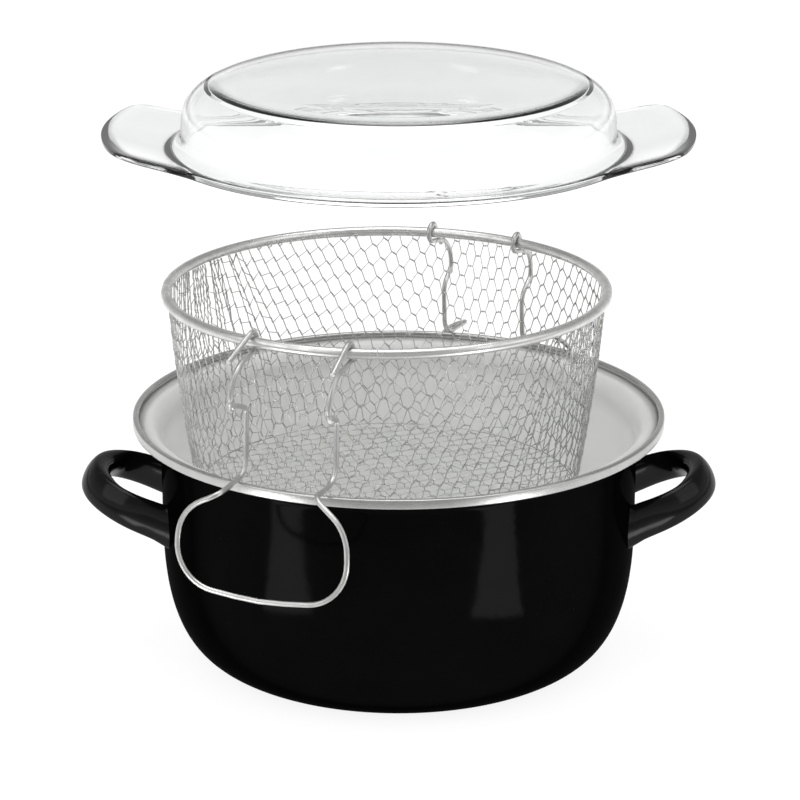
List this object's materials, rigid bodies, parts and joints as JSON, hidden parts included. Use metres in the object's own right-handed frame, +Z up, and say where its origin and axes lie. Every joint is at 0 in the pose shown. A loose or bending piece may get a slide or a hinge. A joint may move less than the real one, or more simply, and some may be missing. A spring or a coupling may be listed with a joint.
{
  "type": "deep fryer pot",
  "caption": "Two-handled enamelled deep fryer pot with a steel rim band, a wire mesh basket hooked over the rim by its wire handles to drain, and an eared glass lid held above.",
  "frame": {"origin": "middle of the pot's flat foot, on the surface it stands on", "axes": "+Z up along the pot's axis; the strap handles point along +X and -X, and the pictured side faces -Y"},
  "size_m": [0.3254, 0.3239, 0.3041],
  "materials": {
    "black_enamel": "gloss enamel, black outside and light grey inside",
    "band_steel": "satin",
    "wire_steel": "bright drawn wire",
    "clear_glass": "clear pressed glass"
  },
  "bodies": {
    "pot": {"pot_shell": "black_enamel", "rim_band": "band_steel", "left_handle": "black_enamel", "right_handle": "black_enamel"},
    "basket": {"basket_rim": "wire_steel", "basket_wall": "wire_steel", "basket_floor": "wire_steel", "basket_base_ring": "wire_steel"},
    "front_handle": {"front_wire_handle": "wire_steel"},
    "rear_handle": {"rear_wire_handle": "wire_steel"},
    "lid": {"glass_lid": "clear_glass"}
  },
  "joints": [
    {"name": "basket_lift", "type": "slide", "parent": "pot", "child": "basket", "axis": [0, 0, 1], "range_m": [0, 0.12]},
    {"name": "lid_lift", "type": "slide", "parent": "basket", "child": "lid", "axis": [0, 0, 1], "range_m": [0, 0.1]},
    {"name": "front_handle_swing", "type": "hinge", "parent": "basket", "child": "front_handle", "pos_m": [-0.04587, -0.10018, 0.1901], "axis": [-0.9291, 0.3697, 0], "range_deg": [0, 130]},
    {"name": "rear_handle_swing", "type": "hinge", "parent": "basket", "child": "rear_handle", "pos_m": [0.04042, 0.09732, 0.1901], "axis": [0.9026, -0.4305, 0], "range_deg": [0, 130]}
  ]
}
